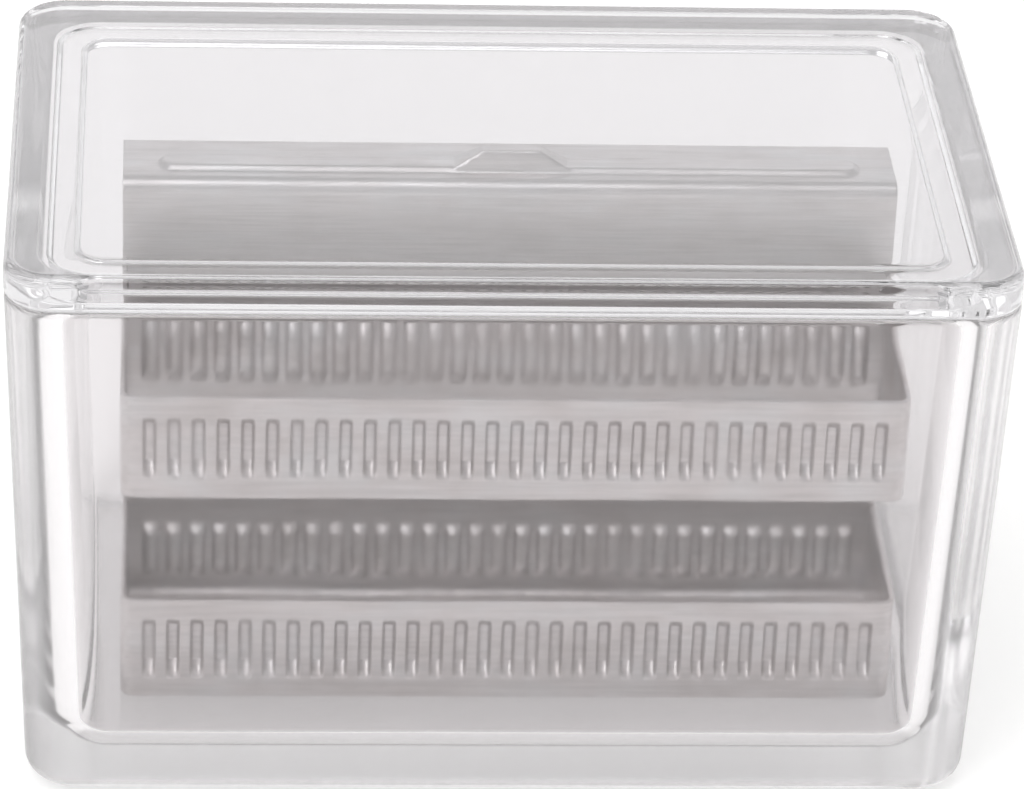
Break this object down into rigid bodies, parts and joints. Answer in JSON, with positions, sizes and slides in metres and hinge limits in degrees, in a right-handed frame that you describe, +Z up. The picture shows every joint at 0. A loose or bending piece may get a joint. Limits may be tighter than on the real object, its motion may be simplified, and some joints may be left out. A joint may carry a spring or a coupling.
{
  "type": "slide staining jar",
  "caption": "Clear glass box jar with a loose glass lid and a folded-steel rack that holds microscope slides upright in ribbed walls.",
  "frame": {"origin": "centre of the jar's underside, where it stands on the table", "axes": "+X along the jar's length, +Y from the rack's open front to its back plate, +Z up"},
  "size_m": [0.1462, 0.0948, 0.0884],
  "materials": {
    "jar_glass": "clear pressed glass, fire polished",
    "lid_glass": "clear pressed glass, fire polished",
    "rack_steel": "fine brushed stainless steel sheet"
  },
  "bodies": {
    "root": {"jar": "jar_glass", "lid": "lid_glass", "rack_back_plate": "rack_steel", "rack_upper_band": "rack_steel", "rack_lower_band": "rack_steel"}
  },
  "joints": []
}
